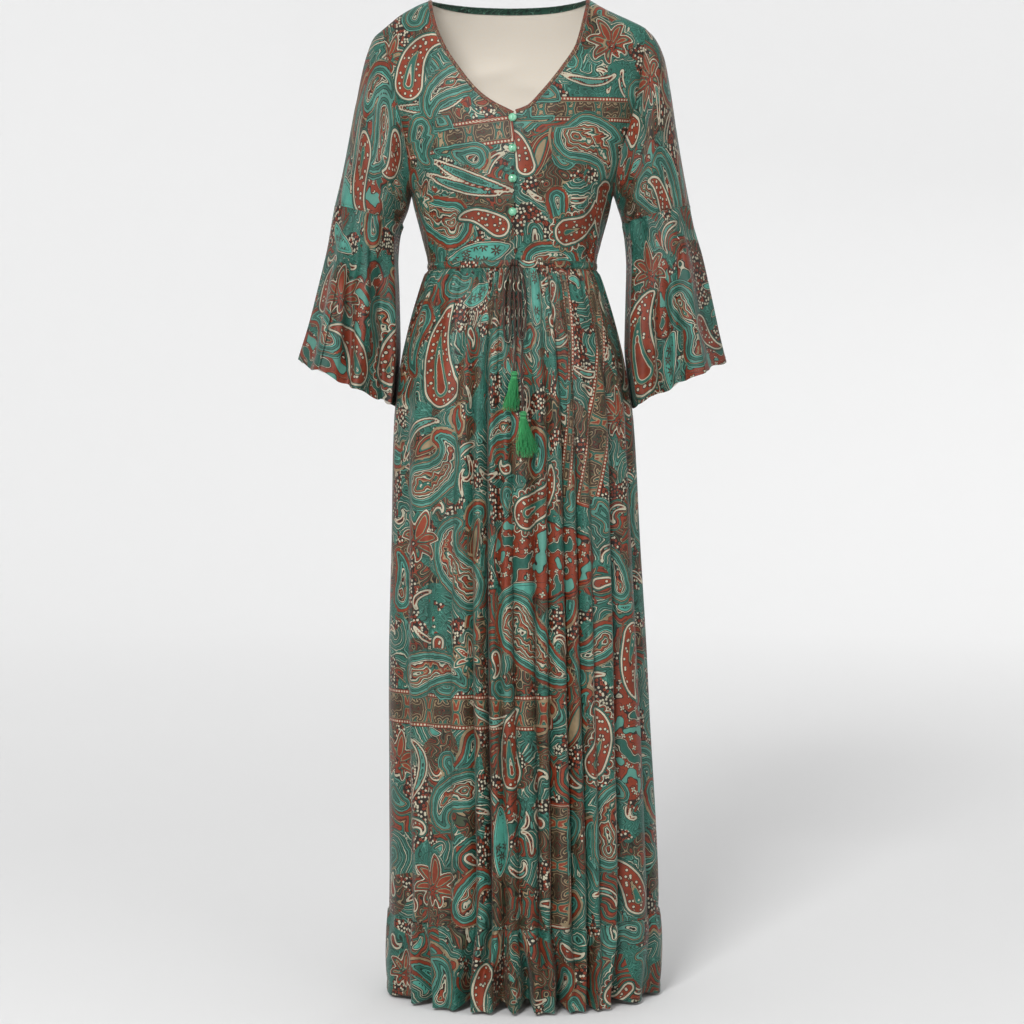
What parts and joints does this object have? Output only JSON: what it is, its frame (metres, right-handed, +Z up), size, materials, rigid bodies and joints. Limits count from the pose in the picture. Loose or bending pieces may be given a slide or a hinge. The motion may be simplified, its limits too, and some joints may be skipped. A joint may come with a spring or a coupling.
{
  "type": "maxi dress",
  "caption": "Long printed dress with a V neck, flared elbow sleeves, buttoned front, tasselled drawstring waist, gathered skirt and hem ruffle, filled out and hollow.",
  "frame": {"origin": "top of the wearer's shoulders, midway between the two sides of the neck", "axes": "+Z up, -Y the front of the dress, +X the wearer's left"},
  "size_m": [0.5899, 0.3071, 1.386],
  "materials": {
    "printed_cloth": "soft sheen, printed viscose",
    "neck_binding": "soft sheen, printed binding",
    "button": "glossy, domed",
    "drawstring": "matt printed cloth tube",
    "tassel": "thread, slight sheen"
  },
  "bodies": {
    "root": {"front_bodice_right": "printed_cloth", "front_bodice_left": "printed_cloth", "back_bodice": "printed_cloth", "neck_binding_right": "neck_binding", "neck_binding_left": "neck_binding", "neck_binding_back": "neck_binding", "sleeve_right": "printed_cloth", "sleeve_left": "printed_cloth", "sleeve_flounce_right": "printed_cloth", "sleeve_flounce_left": "printed_cloth", "waist_casing": "printed_cloth", "skirt_front": "printed_cloth", "skirt_back": "printed_cloth", "hem_ruffle_front": "printed_cloth", "hem_ruffle_back": "printed_cloth", "button_1": "button", "button_2": "button", "button_3": "button", "button_4": "button", "drawstring_knot": "drawstring", "drawstring_loop_right": "drawstring", "drawstring_loop_left": "drawstring", "drawstring_end_right": "drawstring", "drawstring_end_left": "drawstring", "tassel_right": "tassel", "tassel_left": "tassel"}
  },
  "joints": []
}
